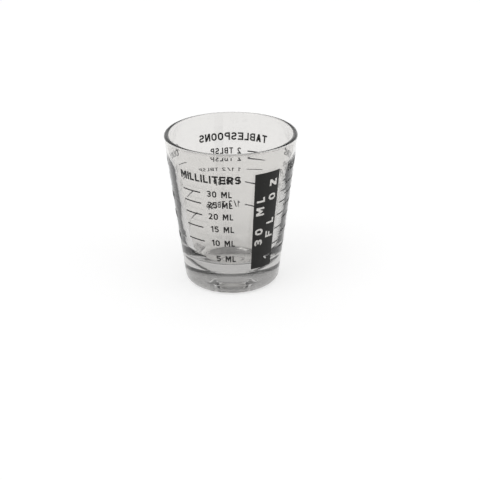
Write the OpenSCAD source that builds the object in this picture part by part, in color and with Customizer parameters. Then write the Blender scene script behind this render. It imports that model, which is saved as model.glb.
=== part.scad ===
// Measuring glass: a small tapered cup of clear pressed glass with a thick bottom.
// Four graduated scales and a lettered panel are printed round it in black enamel.
// Millimetres. The origin is the centre of the foot and +Z is up. The front is -Y,
// where the millilitre scale is left of the middle and the panel is right of it.
// Azimuths are degrees round the glass, from the front towards +X.

/* [Glass] */
// Diameter over the rim
rim_d = 47; // [45:0.5:52]
// Diameter that the outer cone has at the table, before the foot is rounded
foot_d = 34.2; // [32:0.2:38]
// Height over all
height = 55.3; // [54:0.1:64]
// Thickness of the wall at the rim
lip_wall = 1.8; // [1.4:0.1:2.2]
// Height of the lip, over which the inside of the rim is upright
lip_height = 5.2; // [4:0.1:6]
// Radius with which the lip's inside bends into the cup
neck_round = 32; // [10:1:36]
// Thickness of the wall at the bottom of the cup
base_wall = 4.2; // [3.4:0.1:5]
// Height of the cup's floor above the table
floor_height = 4.8; // [4.2:0.1:7]
// Radius of the corner round the cup's floor
cup_corner = 13; // [8:0.5:13.5]
// Radius of the rim's two rounded edges
lip_round = 0.8; // [0.3:0.05:0.9]
// Radius of the foot's outer edge
foot_round = 2; // [0.8:0.1:3]
// Diameter of the hollow under the foot, at the table
hollow_d = 11; // [8:0.5:14]
// Depth of the hollow under the foot
hollow_depth = 1.5; // [0.8:0.1:2]
// Width of the hollow's sloping border
hollow_slope = 1.2; // [0.8:0.1:2]
// Radius of the two edges of that border
hollow_round = 0.8; // [0.3:0.1:0.8]

/* [Measures] */
// Millilitres in a teaspoon
teaspoon = 5; // [4.8:0.05:5.2]
// Millilitres in a tablespoon
tablespoon = 15; // [14:0.1:16]
// Millilitres in a fluid ounce
ounce = 29.57; // [28.4:0.01:30]

/* [Print] */
// Thickness of the enamel
ink = 0.08; // [0.05:0.01:0.15]
// Width of a printed stroke
stroke = 0.44; // [0.3:0.02:0.5]
// Height of the letters and figures beside the graduations
letter_h = 2.35; // [2:0.05:2.8]
// Width of the letters and figures beside the graduations
figure_w = 1.5; // [1.3:0.05:1.6]
// Width of the letters in a scale's heading
heading_w = 2.15; // [1.9:0.05:2.3]
// Height of the letters in a scale's heading
heading_h = 2.9; // [2.4:0.1:3.4]
// Width of a stroke in a scale's heading
heading_stroke = 0.6; // [0.4:0.05:0.65]
// Space between one letter and the next
letter_gap = 0.42; // [0.3:0.02:0.6]
// Height of the headings' middle above the top of the highest figures
heading_rise = 4.3; // [2.8:0.1:5.2]
// Thickness of a graduation
line_h = 0.45; // [0.3:0.05:0.6]
// Degrees round the glass that a graduation covers
line_span = 19.5; // [10:0.5:24]
// Azimuth at which a scale's figures start, from the middle of its heading
figures_at = -2; // [-8:0.5:4]
// The same for the tablespoon scale, whose figures are long
long_figures_at = -8; // [-12:0.5:-2]
// Degrees from the end of a graduation to the figures
figures_gap = 6.5; // [3:0.5:10]

/* [Places round the glass] */
// Azimuth of the middle of the millilitre scale
ml_at = -20.5; // [-24:0.5:-18]
// Azimuth of the middle of the teaspoon scale
tsp_at = 88; // [84:0.5:94]
// Azimuth of the middle of the tablespoon scale
tbsp_at = 177.5; // [170:0.5:184]
// Azimuth of the middle of the ounce scale
oz_at = 261; // [255:0.5:265]

/* [Panel] */
// Azimuth of the panel's left edge
panel_left = 20.8; // [18:0.2:24]
// Degrees round the glass that the panel covers
panel_span = 25.8; // [24:0.2:32]
// Height of the panel's lower edge above the cup's floor
panel_rise = 5.3; // [3:0.1:7]
// Height of the panel's letters
panel_letter_h = 3.1; // [2.6:0.1:3.6]
// Width of the panel's letters
panel_letter_w = 2.5; // [2:0.1:3]
// Width of the strokes of the panel's letters
panel_stroke = 0.75; // [0.5:0.05:0.8]
// Length of the left column of letters, up the wall
left_length = 19.2; // [17:0.2:26]
// Length of the right column of letters, up the wall
right_length = 31.2; // [26:0.2:34]
// Share of the panel's width at which the left column's letters have their middle
left_column = 0.27; // [0.25:0.01:0.3]
// Share of the panel's width at which the right column's letters have their middle
right_column = 0.75; // [0.7:0.01:0.78]

/* [Hidden] */

// Cubic millimetres in a millilitre
millilitre = 1000;
rim_r = rim_d / 2;
foot_r = foot_d / 2;
hollow_r = hollow_d / 2;

// Steps of the surfaces that are turned about the axis
turned = 256;
// Degrees between the points of a rounded corner, and of a letter's bow
corner_step = 7.5;
bow_step = 15;
// How far a letter's shape runs into the glass and out of it before it is trimmed
reach = 1.2;
// How far the enamel's band runs past the letters that are cut from it
band_margin = 0.5;
// Width along the line of a sloping stroke, in strokes
slant = 1.25;
// Widths of the figure one, of an L, of an M and of a space, in letter widths
narrow = 0.62;
slim = 0.8;
wide = 1.3;
space = 0.55;
// Degrees of a bow that the ends of an open letter leave out at its mouth
mouth = 18;
// Distance of the middle of what a rounded corner fills from that corner, in its radii
fill_middle = 0.15;

enamel = [0.06, 0.06, 0.055];
glass = [0.86, 0.9, 0.89, 0.4];

// Each row of a scale holds its figures and the volume up to its graduation
ML_ROWS = [for (v = [30:-5:5]) [str(v, " ML"), v]];
TSP_ROWS = [for (n = [6:-1:1]) [str(n, " TSP"), n * teaspoon]];
TBSP_ROWS = [
    ["2 TBLSP", 2 * tablespoon],
    ["1 1/2 TBLSP", 3 / 2 * tablespoon],
    ["1 TBLSP", tablespoon],
    ["1/2 TBLSP", tablespoon / 2]
];
OZ_ROWS = [
    ["1 OZ", ounce],
    ["3/4 OZ", ounce * 3 / 4],
    ["1/2 OZ", ounce / 2],
    ["1/4 OZ", ounce / 4]
];

// Outer radius at a height, between the two rounded edges
function outer_r(z) = foot_r + (rim_r - foot_r) * z / height;

// The cup is a cone between its floor and its lip, with the corner round the floor rounded
lip_r = rim_r - lip_wall;
neck_z = height - lip_height;
floor_r = outer_r(floor_height) - base_wall;
cup_flare = (lip_r - floor_r) / (neck_z - floor_height);
corner_angle = 90 + atan(cup_flare);
corner_area = pow(cup_corner, 2) * (1 / tan(corner_angle / 2) - (180 - corner_angle) * PI / 360);
corner_loss = 2 * PI * (floor_r - fill_middle * cup_corner) * corner_area;

// Height above the table of the level of a volume in millilitres
function level(ml) =
    let (cubed = pow(floor_r, 3) + 3 * cup_flare * (ml * millilitre + corner_loss) / PI)
    floor_height + (pow(cubed, 1 / 3) - floor_r) / cup_flare;

heading_z = level(max(ML_ROWS[0][1], OZ_ROWS[0][1])) + letter_h / 2 + heading_rise;
panel_low = floor_height + panel_rise;
panel_high = heading_z + heading_h / 2;

// Points of an ellipse's arc, from one angle to another
function arc(x, y, rx, ry, from, to, step = bow_step) =
    let (n = ceil(abs(to - from) / step))
    [for (i = [0:n]) let (a = from + (to - from) * i / n) [x + rx * cos(a), y + ry * sin(a)]];

// Outline with each corner rounded to its own radius, and a radius of 0 left sharp
function rounded(points, radii) = [
    for (i = [0:len(points) - 1])
        let (
            n = len(points),
            p = points[i],
            back = unit(points[(i + n - 1) % n] - p),
            ahead = unit(points[(i + 1) % n] - p),
            half = acos(back * ahead) / 2,
            centre = p + unit(back + ahead) * radii[i] / sin(half),
            start = back * radii[i] / tan(half) + p - centre,
            from = atan2(start[1], start[0]),
            turn = sign(back[1] * ahead[0] - back[0] * ahead[1]) * (180 - 2 * half)
        )
        each radii[i] == 0 ? [p]
            : arc(centre[0], centre[1], radii[i], radii[i], from, from + turn, corner_step)
];
function unit(v) = v / norm(v);
function backwards(points) = [for (i = [len(points) - 1:-1:0]) points[i]];

// Outline of a stroke of even width along a path, without sharp turns
function ribbon(path, width) =
    let (
        last = len(path) - 1,
        side = [
            for (i = [0:last])
                let (
                    before = unit(path[max(i, 1)] - path[max(i, 1) - 1]),
                    after = unit(path[min(i, last - 1) + 1] - path[min(i, last - 1)]),
                    middle = unit(before + after)
                )
                [-middle[1], middle[0]] * width / 2 / (middle * before)
        ]
    )
    concat([for (i = [0:last]) path[i] + side[i]], backwards([for (i = [0:last]) path[i] - side[i]]));

// Shapes of the characters, w wide and h high with strokes s wide, as outlines of
// which the first is the letter and any others are the holes in it
function bowl_ry(h, s) = (h + s) / 4;
function bowl_hole(w, y, h, s) =
    let (ry = bowl_ry(h, s) - s)
    concat([[s, y - ry], [s, y + ry]], arc(w / 2, y, w / 2 - s, ry, 90, -90));
function waist(h, s) = asin((h - s) / (h + s));
function stadium(w, low, high, inset) =
    let (r = w / 2)
    concat(
        arc(r, high - r, r - inset, r - inset, 0, 180),
        arc(r, low + r, r - inset, r - inset, 180, 360)
    );
function path_points(c, w, h, s) =
    let (x = w - s, y = h - s)
    c == "S" ? concat(
        arc(x / 2, y * 3 / 4, x / 2, y / 4, mouth, 270),
        arc(x / 2, y / 4, x / 2, y / 4, 75, mouth - 180)
    ) :
    c == "2" ? concat(
        arc(x / 2, y - x / 2, x / 2, x / 2, 180 - mouth, -30),
        [[s * 0.35, 0], [x + s / 2, 0]]
    ) :
    c == "5" ? concat(
        [[x + s / 4, y], [0, y], [0, y * 0.58]],
        arc(x / 2, y * 0.29, x / 2, y * 0.29, 90, mouth - 180)
    ) :
    c == "L" ? [[0, y + s / 2], [0, 0], [x + s / 2, 0]] :
    undef;
function glyph_w(c, w, s) =
    c == " " ? w * space :
    c == "I" ? s :
    c == "1" ? w * narrow :
    c == "L" ? w * slim :
    c == "M" ? w * wide : w;
function is_path(c) = c == "S" || c == "2" || c == "5" || c == "L";
function outlines(c, w, h, s) =
    let (e = slant * s, r = w / 2, ry = bowl_ry(h, s))
    is_path(c) ? [[for (p = ribbon(path_points(c, w, h, s), s)) p + [s, s] / 2]] :
    c == "I" ? [[[r - s / 2, 0], [r + s / 2, 0], [r + s / 2, h], [r - s / 2, h]]] :
    c == "1" ? [[
        [w - s, 0], [w, 0], [w, h], [w - s * 0.8, h], [0, h - s], [0, h - s * 2], [w - s, h - s * 1.3]
    ]] :
    c == "T" ? [[
        [0, h - s], [r - s / 2, h - s], [r - s / 2, 0], [r + s / 2, 0], [r + s / 2, h - s],
        [w, h - s], [w, h], [0, h]
    ]] :
    c == "F" ? [[
        [0, 0], [s, 0], [s, (h - s) / 2], [w * 0.85, (h - s) / 2], [w * 0.85, (h + s) / 2],
        [s, (h + s) / 2], [s, h - s], [w, h - s], [w, h], [0, h]
    ]] :
    c == "E" ? [[
        [0, 0], [w, 0], [w, s], [s, s], [s, (h - s) / 2], [w * 0.85, (h - s) / 2],
        [w * 0.85, (h + s) / 2], [s, (h + s) / 2], [s, h - s], [w, h - s], [w, h], [0, h]
    ]] :
    c == "/" ? [[[0, 0], [e, 0], [w, h], [w - e, h]]] :
    c == "Z" ? [[
        [0, 0], [w, 0], [w, s], [e * 1.3, s], [w, h - s], [w, h], [0, h], [0, h - s],
        [w - e * 1.3, h - s], [0, s]
    ]] :
    c == "N" ? let (drop = h * s / (w - e)) [[
        [0, 0], [s, 0], [s, h - drop], [w - e, 0], [w, 0], [w, h], [w - s, h], [w - s, drop],
        [e, h], [0, h]
    ]] :
    c == "M" ? let (low = h * 0.1, m = (h - low) / r) [[
        [0, 0], [s, 0], [s, h - m * s], [r, low], [w - s, h - m * s], [w - s, 0], [w, 0],
        [w, h], [w - e, h], [r, h - m * (r - e)], [e, h], [0, h]
    ]] :
    c == "A" ? let (k = (r - s * 0.6) / h, bar = h * 0.2) [
        [
            [0, 0], [e, 0], [e + k * bar, bar], [w - e - k * bar, bar], [w - e, 0], [w, 0],
            [w - k * h, h], [k * h, h]
        ],
        [
            [e + k * (bar + s), bar + s], [w - e - k * (bar + s), bar + s], [r, (r - e) / k]
        ]
    ] :
    c == "4" ? let (x = w * 0.62, bar = h * 0.22, m = (h - bar - s) / x) [
        [
            [x, 0], [x + s, 0], [x + s, bar], [w, bar], [w, bar + s], [x + s, bar + s],
            [x + s, h], [x, h], [0, bar + s], [0, bar], [x, bar]
        ],
        [
            [x, bar + s], [x, h - s * sqrt(1 + m * m)], [s * sqrt(1 + 1 / (m * m)), bar + s]
        ]
    ] :
    c == "U" ? [concat(
        [[0, h]], arc(r, r, r, r, 180, 360), [[w, h], [w - s, h]],
        arc(r, r, r - s, r - s, 360, 180), [[s, h]]
    )] :
    c == "C" ? [concat(
        arc(r, h - r, r, r, mouth, 180), arc(r, r, r, r, 180, 360 - mouth),
        arc(r, r, r - s, r - s, 360 - mouth, 180), arc(r, h - r, r - s, r - s, 180, mouth)
    )] :
    c == "O" || c == "0" ? [stadium(w, 0, h, 0), stadium(w, 0, h, s)] :
    c == "6" ? let (top = max(h * 0.62, w * 1.05)) [
        concat(
            arc(r, h - r, r, r, mouth, 180), arc(r, r, r, r, 180, 360),
            arc(r, top - r, r, r, 0, 90), [[s, top]], arc(r, h - r, r - s, r - s, 180, mouth)
        ),
        stadium(w, 0, top, s)
    ] :
    c == "3" ? [concat(
        arc(r, h - ry, r, ry, 180 - mouth, -waist(h, s)), arc(r, ry, r, ry, waist(h, s), mouth - 180),
        arc(r, ry, r - s, ry - s, mouth - 180, 90), [[w * 0.3, (h - s) / 2], [w * 0.3, (h + s) / 2]],
        arc(r, h - ry, r - s, ry - s, -90, 180 - mouth)
    )] :
    c == "B" ? [
        concat(
            [[0, 0], [0, h]], arc(r, h - ry, r, ry, 90, -waist(h, s)),
            arc(r, ry, r, ry, waist(h, s), -90)
        ),
        bowl_hole(w, h - ry, h, s),
        bowl_hole(w, ry, h, s)
    ] :
    c == "P" ? [
        concat([[0, 0], [0, h]], arc(r, h - ry, r, ry, 90, -90), [[s, h - 2 * ry], [s, 0]]),
        bowl_hole(w, h - ry, h, s)
    ] :
    c == "R" ? let (x = s * 1.15, a = acos((x + e) / r - 1)) [
        concat(
            [[0, 0], [0, h]], arc(r, h - ry, r, ry, 90, -a),
            [[w, 0], [w - e, 0], [x, h - 2 * ry], [s, h - 2 * ry], [s, 0]]
        ),
        bowl_hole(w, h - ry, h, s)
    ] :
    undef;

module character(c, w, h, s) {
    rings = outlines(c, w, h, s);
    starts = [for (i = 0, n = 0; i < len(rings); n = n + len(rings[i]), i = i + 1) n];
    polygon(
        [for (ring = rings) each ring],
        [for (i = [0:len(rings) - 1]) [for (k = [0:len(rings[i]) - 1]) starts[i] + k]]
    );
}

// Distance from the start of a text to its character i, and its length over all
function text_x(t, i, w, s, gap) =
    i == 0 ? 0 : text_x(t, i - 1, w, s, gap) + glyph_w(t[i - 1], w, s) + gap;
function text_length(t, w, s, gap) = text_x(t, len(t), w, s, gap) - gap;
function figures_length(t) = text_length(t, figure_w, stroke, letter_gap);

// Length along the wall of a degree round it, at a height
function degree(z) = outer_r(z) * PI / 180;

// Flat shape pushed through the wall at an azimuth and a height
module through_wall(azimuth, z) {
    rotate([0, 0, azimuth])
        translate([0, reach - outer_r(z), z])
            rotate([90, 0, 0])
                linear_extrude(2 * reach)
                    children();
}

// Enamel all round the glass, or over part of it, between two heights
module enamel_band(low, high, azimuth = 0, span = 360) {
    rotate([0, 0, azimuth - 90])
        rotate_extrude(angle = span, $fn = turned)
            polygon([
                [outer_r(low), low], [outer_r(low) + ink, low],
                [outer_r(high) + ink, high], [outer_r(high), high]
            ]);
}

// Text along the wall with its middle at a height, starting at an azimuth, in letters
// w wide and h high with strokes s wide
module wall_text(t, azimuth, z, w, h, s) {
    intersection() {
        enamel_band(z - h / 2 - band_margin, z + h / 2 + band_margin);
        union() {
            for (i = [0:len(t) - 1]) {
                cw = glyph_w(t[i], w, s);
                if (t[i] != " ")
                    through_wall(azimuth + (text_x(t, i, w, s, letter_gap) + cw / 2) / degree(z), z)
                        translate([-cw / 2, -h / 2])
                            character(t[i], cw, h, s);
            }
        }
    }
}

// One scale's lines and figures, of which the figures start at an azimuth, or end
// where the longest do, and its heading, which has its middle at an azimuth
module lines(rows, azimuth) {
    color(enamel)
        for (row = rows)
            enamel_band(
                level(row[1]) - line_h / 2, level(row[1]) + line_h / 2,
                azimuth - figures_gap - line_span, line_span
            );
}
module figures(rows, azimuth, flush_right = false) {
    longest = max([for (row = rows) figures_length(row[0])]);
    color(enamel)
        for (row = rows) {
            z = level(row[1]);
            indent = flush_right ? longest - figures_length(row[0]) : 0;
            wall_text(row[0], azimuth + indent / degree(z), z, figure_w, letter_h, stroke);
        }
}
module heading(t, azimuth) {
    span = text_length(t, heading_w, heading_stroke, letter_gap) / degree(heading_z);
    color(enamel)
        wall_text(t, azimuth - span / 2, heading_z, heading_w, heading_h, heading_stroke);
}

// Column of letters that reads upwards on the panel, for cutting out of it
module panel_text(t, share, length) {
    w = panel_letter_w;
    s = panel_stroke;
    gap = (length - text_length(t, w, s, 0)) / (len(t) - 1);
    start = (panel_low + panel_high - length) / 2;
    for (i = [0:len(t) - 1]) {
        cw = glyph_w(t[i], w, s);
        z = start + text_x(t, i, w, s, gap) + cw / 2;
        if (t[i] != " ")
            through_wall(panel_left + panel_span * share, z)
                rotate(90)
                    translate([-cw / 2, -panel_letter_h / 2])
                        character(t[i], cw, panel_letter_h, s);
    }
}

module glass_body() {
    color(glass)
        rotate_extrude($fn = turned)
            polygon(rounded(
                [
                    [0, hollow_depth],
                    [hollow_r - hollow_slope, hollow_depth],
                    [hollow_r, 0],
                    [foot_r, 0],
                    [rim_r, height],
                    [lip_r, height],
                    [lip_r, neck_z],
                    [floor_r, floor_height],
                    [0, floor_height]
                ],
                [
                    0, hollow_round, hollow_round, foot_round,
                    lip_round, lip_round, neck_round, cup_corner, 0
                ]
            ));
}

module label_panel() {
    color(enamel)
        difference() {
            enamel_band(panel_low, panel_high, panel_left, panel_span);
            panel_text("30 ML", left_column, left_length);
            panel_text("1 FL OZ", right_column, right_length);
        }
}

module ml_lines() { lines(ML_ROWS, ml_at + figures_at); }
module ml_figures() { figures(ML_ROWS, ml_at + figures_at, flush_right = true); }
module ml_heading() { heading("MILLILITERS", ml_at); }

module tsp_lines() { lines(TSP_ROWS, tsp_at + figures_at); }
module tsp_figures() { figures(TSP_ROWS, tsp_at + figures_at); }
module tsp_heading() { heading("TEASPOONS", tsp_at); }

module tbsp_lines() { lines(TBSP_ROWS, tbsp_at + long_figures_at); }
module tbsp_figures() { figures(TBSP_ROWS, tbsp_at + long_figures_at); }
module tbsp_heading() { heading("TABLESPOONS", tbsp_at); }

module oz_lines() { lines(OZ_ROWS, oz_at + figures_at); }
module oz_figures() { figures(OZ_ROWS, oz_at + figures_at); }
module oz_heading() { heading("OUNCES", oz_at); }

glass_body();
label_panel();
ml_lines();
ml_figures();
ml_heading();
tsp_lines();
tsp_figures();
tsp_heading();
tbsp_lines();
tbsp_figures();
tbsp_heading();
oz_lines();
oz_figures();
oz_heading();
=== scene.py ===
"""Looks of the measuring glass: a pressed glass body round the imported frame, its fired
enamel, a pale floor, soft studio light and the photograph's camera. Metres, +Z up."""

import math

import bpy
from mathutils import Matrix, Vector, noise


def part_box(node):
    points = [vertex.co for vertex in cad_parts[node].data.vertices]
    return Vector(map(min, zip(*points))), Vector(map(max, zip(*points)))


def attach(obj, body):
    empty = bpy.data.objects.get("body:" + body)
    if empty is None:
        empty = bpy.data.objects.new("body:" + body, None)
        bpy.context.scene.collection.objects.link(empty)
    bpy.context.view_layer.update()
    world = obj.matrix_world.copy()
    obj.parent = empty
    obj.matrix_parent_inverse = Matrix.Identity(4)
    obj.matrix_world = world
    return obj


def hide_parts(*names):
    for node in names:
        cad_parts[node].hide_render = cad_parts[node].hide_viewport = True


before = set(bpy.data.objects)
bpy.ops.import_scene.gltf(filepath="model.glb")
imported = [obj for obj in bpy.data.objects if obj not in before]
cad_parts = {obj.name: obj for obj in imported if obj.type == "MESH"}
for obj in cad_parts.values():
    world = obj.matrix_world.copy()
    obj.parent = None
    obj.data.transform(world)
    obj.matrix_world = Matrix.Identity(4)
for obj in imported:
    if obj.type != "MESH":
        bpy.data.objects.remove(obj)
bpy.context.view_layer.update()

# The glass, with the values of its CAD source
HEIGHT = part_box("glass_body")[1][2]
RIM_R = 0.0235
FOOT_R = 0.0171
LIP_WALL = 0.0018
LIP_HEIGHT = 0.0052
BASE_WALL = 0.0042
FLOOR_HEIGHT = 0.0048
HOLLOW_R = 0.0055
HOLLOW_DEPTH = 0.0015
HOLLOW_SLOPE = 0.0012
HOLLOW_ROUND = 0.0008
LIP_ROUND = 0.0008
NECK_ROUND = 0.032
FOOT_ROUND = 0.002
CUP_CORNER = 0.013

# How far the glass reaches into the enamel, so that no air shows between them
CONTACT = 0.00002
# Waves that the press left in the walls: their height, how many there are to a metre,
# and the heights above the table and below the rim at which they begin
INNER_WAVE = 0.00005
OUTER_WAVE = 0.00001
WAVES = 90
FOOT_CALM = 0.006
RIM_CALM = 0.005

# Fineness of the turned mesh
TURN_STEPS = 384
CORNER_STEP = math.radians(5)
WALL_STEP = 0.0012

# Range of Blender's noise within which nearly all of it lies
NOISE_LOW = 0.3
NOISE_HIGH = 0.7

# Looks of the glass: the grey it lets through at its surfaces and what it takes for each metre,
# both painted shade of a dimmer backdrop seen through it, how rough its smears and its
# scuffed foot are, and how high its ripples and its scuffs go. The counts of smears, scuffs
# and ripples are to a metre.
GLASS_IOR = 1.52
GLASS_PAINTED_SHADE = (0.81, 0.8, 0.785)
GLASS_SHADE_TAKES = 13
GLASS_SMEAR = 0.03
SMEARS = 110
FOOT_SCUFF = 0.35
SCUFFS = 1500
SCUFF_HEIGHT = 0.0005
RIPPLE = 0.000006
RIPPLES = 260

# Looks of the enamel, with its counts to a metre: its gloss, the colours where it is
# thick and where it is thin, its pinholes in cells of which most stay empty, its grain
ENAMEL_SPECULAR = 0.22
ENAMEL_SMOOTH = 0.3
ENAMEL_ROUGH = 0.5
ENAMEL_CLOUDS = 700
ENAMEL_THICK = (0.009, 0.009, 0.008, 1)
ENAMEL_THIN = (0.038, 0.038, 0.036, 1)
THIN_SHARE = 0.25
THIN_PATCHES = 350
PINHOLE_CELLS = 900
PINHOLE_EDGE = 0.22
PINHOLE_CORE = 0.12
EMPTY_CELLS = 0.8
GRAIN = 0.00001
GRAINS = 2200

# The studio: the floor, the room, which darkens between two heights of view, and the
# two lamps
FLOOR_SIZE = 3
FLOOR_Z = -0.0001
FLOOR_TONE = 0.5
FLOOR_GLOW = 0.6
SKY_LIGHT = 0.7
SKY_LOW = 1.0
SKY_HIGH = 0.3
SKY_FROM = 0.3
SKY_TO = 0.6
KEY_PLACE = (-1.0, -0.7, 1.5)
KEY_SIZE = 1.2
KEY_POWER = 6
FILL_PLACE = (1.3, -0.5, 1.0)
FILL_SIZE = 1.2
FILL_POWER = 3

# The camera: its distance from the glass's middle, angle above level and roll, how many
# pixels the rim's radius takes, and the pixel at which the glass's middle shows
CAMERA_DISTANCE = 15 * RIM_R
CAMERA_ELEVATION = math.radians(23.41)
CAMERA_ROLL = math.radians(0.673)
PIXELS = 480
PIXELS_PER_RIM_R = 65.115
MIDDLE_PX = (231.61, 204.52)
SENSOR = 36


def outer_r(z):
    """Radius of the glass's outer cone at a height."""
    return FOOT_R + (RIM_R - FOOT_R) * z / HEIGHT


def rounded(points, radii):
    """The outline with an arc at each corner that has a radius."""
    line = []
    for i, (p, radius) in enumerate(zip(points, radii)):
        if not radius:
            line.append(p)
            continue
        back = (points[i - 1] - p).normalized()
        ahead = (points[(i + 1) % len(points)] - p).normalized()
        half = back.angle(ahead) / 2
        centre = p + (back + ahead).normalized() * radius / math.sin(half)
        start = p + back * radius / math.tan(half) - centre
        end = p + ahead * radius / math.tan(half) - centre
        first = math.atan2(start.y, start.x)
        turn = math.remainder(math.atan2(end.y, end.x) - first, 2 * math.pi)
        steps = max(3, math.ceil(abs(turn) / CORNER_STEP))
        for k in range(steps + 1):
            angle = first + turn * k / steps
            line.append(centre + radius * Vector((math.cos(angle), math.sin(angle))))
    return line


def divided(line, step):
    """The outline with its long stretches cut into even steps."""
    fine = [line[0]]
    for a, b in zip(line, line[1:]):
        count = max(1, math.ceil((b - a).length / step))
        fine += [a.lerp(b, k / count) for k in range(1, count + 1)]
    return fine


def glass_outline():
    """Half section of the glass, from the middle of its underside to the cup's floor."""
    floor_r = outer_r(FLOOR_HEIGHT) - BASE_WALL
    lip_r = RIM_R - LIP_WALL
    corners = [
        (0, HOLLOW_DEPTH, 0),
        (HOLLOW_R - HOLLOW_SLOPE, HOLLOW_DEPTH, HOLLOW_ROUND),
        (HOLLOW_R, 0, HOLLOW_ROUND),
        (FOOT_R, 0, FOOT_ROUND),
        (RIM_R, HEIGHT, LIP_ROUND),
        (lip_r, HEIGHT, LIP_ROUND),
        (lip_r, HEIGHT - LIP_HEIGHT, NECK_ROUND),
        (floor_r, FLOOR_HEIGHT, CUP_CORNER),
        (0, FLOOR_HEIGHT, 0),
    ]
    line = rounded([Vector(c[:2]) for c in corners], [c[2] for c in corners])
    return divided(line, WALL_STEP)


def ring_point(p, normal, angle, inside):
    """A point of the turned outline, moved along its normal by the waves of its wall."""
    around = Vector((math.cos(angle), math.sin(angle), 0))
    place = around * p.x + Vector((0, 0, p.y))
    out = around * normal.x + Vector((0, 0, normal.y))
    calm = max(0, min(1, p.y / FOOT_CALM, (HEIGHT - p.y) / RIM_CALM))
    if inside:
        return place + out * calm * INNER_WAVE * noise.noise(-place * WAVES)
    return place + out * calm * (CONTACT + OUTER_WAVE * noise.noise(place * WAVES))


def turned(name, line):
    """Mesh of an outline turned about +Z, closed at the axis at both ends."""
    rim = max(range(len(line)), key=lambda i: line[i].y)
    count = len(line) - 2
    points = [(0, 0, line[0].y), (0, 0, line[-1].y)]
    for i in range(1, count + 1):
        ahead = (line[i + 1] - line[i - 1]).normalized()
        normal = Vector((ahead.y, -ahead.x))
        for k in range(TURN_STEPS):
            points.append(ring_point(line[i], normal, 2 * math.pi * k / TURN_STEPS, i > rim))
    faces = []
    last = 2 + (count - 1) * TURN_STEPS
    for k in range(TURN_STEPS):
        n = (k + 1) % TURN_STEPS
        faces.append((0, 2 + n, 2 + k))
        faces.append((1, last + k, last + n))
        for j in range(count - 1):
            row = 2 + j * TURN_STEPS
            faces.append((row + k, row + n, row + TURN_STEPS + n, row + TURN_STEPS + k))
    mesh = bpy.data.meshes.new(name)
    mesh.from_pydata(points, [], faces)
    mesh.shade_smooth()
    return placed(name, mesh)


def placed(name, data):
    """A new object in the scene, from a mesh, a lamp or a camera."""
    obj = bpy.data.objects.new(name, data)
    bpy.context.scene.collection.objects.link(obj)
    return obj


def new_material(name):
    """A new material, with its nodes, its links and its shader."""
    material = bpy.data.materials.new(name)
    material.use_nodes = True
    nodes = material.node_tree.nodes
    return material, nodes, material.node_tree.links, nodes["Principled BSDF"]


def mottle(nodes, links, scale, detail, low, high):
    """Noise of a scale, in lumps to a metre, spread from a low to a high value."""
    place = nodes.new("ShaderNodeTexCoord")
    lumps = nodes.new("ShaderNodeTexNoise")
    lumps.inputs["Scale"].default_value = scale
    lumps.inputs["Detail"].default_value = detail
    links.new(place.outputs["Object"], lumps.inputs["Vector"])
    return ranged(nodes, links, lumps.outputs["Fac"], NOISE_LOW, NOISE_HIGH, low, high)


def ranged(nodes, links, value, start, end, low, high):
    """The value, taken from the range start to end to the range low to high."""
    spread = nodes.new("ShaderNodeMapRange")
    links.new(value, spread.inputs["Value"])
    for name, number in (("From Min", start), ("From Max", end), ("To Min", low), ("To Max", high)):
        spread.inputs[name].default_value = number
    return spread.outputs["Result"]


def math_node(nodes, links, operation, first, second):
    """The two values added, multiplied or the like; the second may be a number."""
    node = nodes.new("ShaderNodeMath")
    node.operation = operation
    links.new(first, node.inputs[0])
    if isinstance(second, (int, float)):
        node.inputs[1].default_value = second
    else:
        links.new(second, node.inputs[1])
    return node.outputs["Value"]


def add_bump(nodes, links, shader, height, distance):
    """Bump on a shader from a height of 0 to 1 that stands for a distance in metres."""
    bump = nodes.new("ShaderNodeBump")
    bump.inputs["Distance"].default_value = distance
    links.new(height, bump.inputs["Height"])
    links.new(bump.outputs["Normal"], shader.inputs["Normal"])


def glass_material():
    """Clear glass greyed by painted shade in its colour and absorption, with faint smears, and a foot
    scuffed where it stands.
    """
    material, nodes, links, shader = new_material("clear_glass")
    # Its grey base colour is painted shade: the dimmer backdrop seen through the glass
    shader.inputs["Base Color"].default_value = (*GLASS_PAINTED_SHADE, 1)
    shader.inputs["IOR"].default_value = GLASS_IOR
    shader.inputs["Transmission Weight"].default_value = 1
    smears = mottle(nodes, links, SMEARS, 3, 0, GLASS_SMEAR)
    place = nodes.new("ShaderNodeTexCoord")
    split = nodes.new("ShaderNodeSeparateXYZ")
    links.new(place.outputs["Object"], split.inputs["Vector"])
    near_table = ranged(nodes, links, split.outputs["Z"], SCUFF_HEIGHT, 0, 0, 1)
    scuffs = mottle(nodes, links, SCUFFS, 2, 0, FOOT_SCUFF)
    scuff = math_node(nodes, links, "MULTIPLY", near_table, scuffs)
    rough = math_node(nodes, links, "MAXIMUM", smears, scuff)
    links.new(rough, shader.inputs["Roughness"])
    add_bump(nodes, links, shader, mottle(nodes, links, RIPPLES, 1, 0, 1), RIPPLE)
    # Absorption by thickness that darkens the glass further: painted shade
    shade_absorption = nodes.new("ShaderNodeVolumeAbsorption")
    shade_absorption.inputs["Color"].default_value = (0, 0, 0, 1)
    shade_absorption.inputs["Density"].default_value = GLASS_SHADE_TAKES
    links.new(shade_absorption.outputs["Volume"], nodes["Material Output"].inputs["Volume"])
    return material


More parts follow.
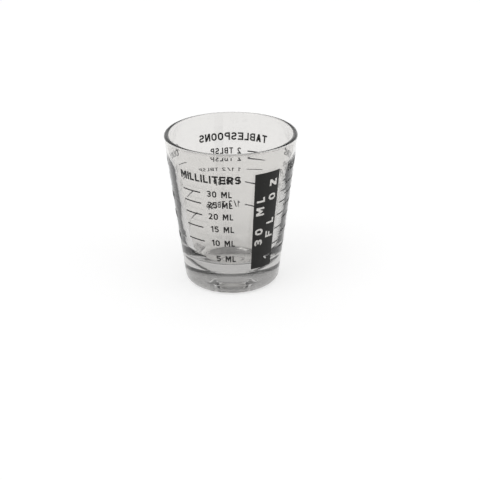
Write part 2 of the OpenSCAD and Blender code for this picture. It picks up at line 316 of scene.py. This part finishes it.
def enamel_material():
    """Black enamel, screen printed and fired: satin, mottled and with a few pinholes."""
    material, nodes, links, shader = new_material("black_enamel")
    shader.inputs["Specular IOR Level"].default_value = ENAMEL_SPECULAR
    rough = mottle(nodes, links, ENAMEL_CLOUDS, 3, ENAMEL_SMOOTH, ENAMEL_ROUGH)
    links.new(rough, shader.inputs["Roughness"])
    place = nodes.new("ShaderNodeTexCoord")
    cells = nodes.new("ShaderNodeTexVoronoi")
    cells.inputs["Scale"].default_value = PINHOLE_CELLS
    links.new(place.outputs["Object"], cells.inputs["Vector"])
    middle = ranged(nodes, links, cells.outputs["Distance"], PINHOLE_EDGE, PINHOLE_CORE, 0, 1)
    split = nodes.new("ShaderNodeSeparateColor")
    links.new(cells.outputs["Color"], split.inputs["Color"])
    chosen = math_node(nodes, links, "GREATER_THAN", split.outputs["Red"], EMPTY_CELLS)
    pinhole = math_node(nodes, links, "MULTIPLY", middle, chosen)
    thin = mottle(nodes, links, THIN_PATCHES, 4, 0, THIN_SHARE)
    share = math_node(nodes, links, "MAXIMUM", pinhole, thin)
    colour = nodes.new("ShaderNodeMix")
    colour.data_type = "RGBA"
    links.new(share, colour.inputs["Factor"])
    # The mix node's colour sockets share their names with others, so they go by number
    colour.inputs[6].default_value = ENAMEL_THICK
    colour.inputs[7].default_value = ENAMEL_THIN
    links.new(colour.outputs[2], shader.inputs["Base Color"])
    add_bump(nodes, links, shader, mottle(nodes, links, GRAINS, 2, 0, 1), GRAIN)
    return material


def make_glass():
    """The glass, in the place of the frame's own."""
    glass = turned("glass", glass_outline())
    glass.data.materials.append(glass_material())
    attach(glass, "root")
    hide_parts("glass_body")


def dress_enamel():
    """The enamel's material on each of the frame's marks."""
    enamel = enamel_material()
    for name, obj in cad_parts.items():
        if name != "glass_body":
            obj.data.materials.clear()
            obj.data.materials.append(enamel)


def seen_share(nodes, links):
    """1 for the rays that look at the background: from the camera, off gloss or through glass."""
    path = nodes.new("ShaderNodeLightPath")
    total = path.outputs["Is Camera Ray"]
    for kind in ("Is Glossy Ray", "Is Transmission Ray"):
        total = math_node(nodes, links, "MAXIMUM", total, path.outputs[kind])
    return total


def make_floor():
    """A pale matt floor that keeps the glass's shadow and looks white to what sees it."""
    mesh = bpy.data.meshes.new("floor")
    sides = ((-1, -1), (1, -1), (1, 1), (-1, 1))
    mesh.from_pydata([(x * FLOOR_SIZE, y * FLOOR_SIZE, FLOOR_Z) for x, y in sides], [], [(0, 1, 2, 3)])
    floor = placed("floor", mesh)
    material, nodes, links, shader = new_material("pale_floor")
    shader.inputs["Base Color"].default_value = (FLOOR_TONE, FLOOR_TONE, FLOOR_TONE, 1)
    shader.inputs["Roughness"].default_value = 1
    shader.inputs["Specular IOR Level"].default_value = 0
    shader.inputs["Emission Color"].default_value = (1, 1, 1, 1)
    glow = math_node(nodes, links, "MULTIPLY", seen_share(nodes, links), FLOOR_GLOW)
    links.new(glow, shader.inputs["Emission Strength"])
    mesh.materials.append(material)


def make_world():
    """A pale room for what looks at it, darker overhead, and an even light for the rest."""
    world = bpy.data.worlds.new("studio")
    bpy.context.scene.world = world
    world.use_nodes = True
    nodes, links = world.node_tree.nodes, world.node_tree.links
    background = nodes["Background"]
    direction = nodes.new("ShaderNodeTexCoord")
    split = nodes.new("ShaderNodeSeparateXYZ")
    links.new(direction.outputs["Generated"], split.inputs["Vector"])
    room = ranged(nodes, links, split.outputs["Z"], SKY_FROM, SKY_TO, SKY_LOW, SKY_HIGH)
    mix = nodes.new("ShaderNodeMix")
    mix.inputs["A"].default_value = SKY_LIGHT
    links.new(seen_share(nodes, links), mix.inputs["Factor"])
    links.new(room, mix.inputs["B"])
    links.new(mix.outputs["Result"], background.inputs["Strength"])
    background.inputs["Color"].default_value = (1, 1, 1, 1)


def make_lights():
    """Two soft lamps that face the middle of the glass."""
    for name, place, power, size in (
        ("key", KEY_PLACE, KEY_POWER, KEY_SIZE),
        ("fill", FILL_PLACE, FILL_POWER, FILL_SIZE),
    ):
        light = bpy.data.lights.new(name, "AREA")
        light.energy = power
        light.size = size
        lamp = placed(name, light)
        lamp.location = place
        aim = Vector((0, 0, HEIGHT / 2)) - Vector(place)
        lamp.rotation_euler = aim.to_track_quat("-Z", "Y").to_euler()


def make_camera():
    """The photograph's camera, set from where the glass shows in it and how large."""
    data = bpy.data.cameras.new("camera")
    camera = placed("camera", data)
    bpy.context.scene.camera = camera
    away = Vector((0, -math.cos(CAMERA_ELEVATION), math.sin(CAMERA_ELEVATION)))
    camera.location = Vector((0, 0, HEIGHT / 2)) + away * CAMERA_DISTANCE
    aim = (-away).to_track_quat("-Z", "Y").to_matrix()
    camera.rotation_euler = (aim @ Matrix.Rotation(-CAMERA_ROLL, 3, "Z")).to_euler()
    data.sensor_width = SENSOR
    data.lens = SENSOR * PIXELS_PER_RIM_R * CAMERA_DISTANCE / RIM_R / PIXELS
    data.shift_x = (PIXELS / 2 - MIDDLE_PX[0]) / PIXELS
    data.shift_y = (MIDDLE_PX[1] - PIXELS / 2) / PIXELS


bpy.context.scene.view_settings.view_transform = "Standard"
make_camera()
make_world()
make_lights()
make_floor()
make_glass()
dress_enamel()
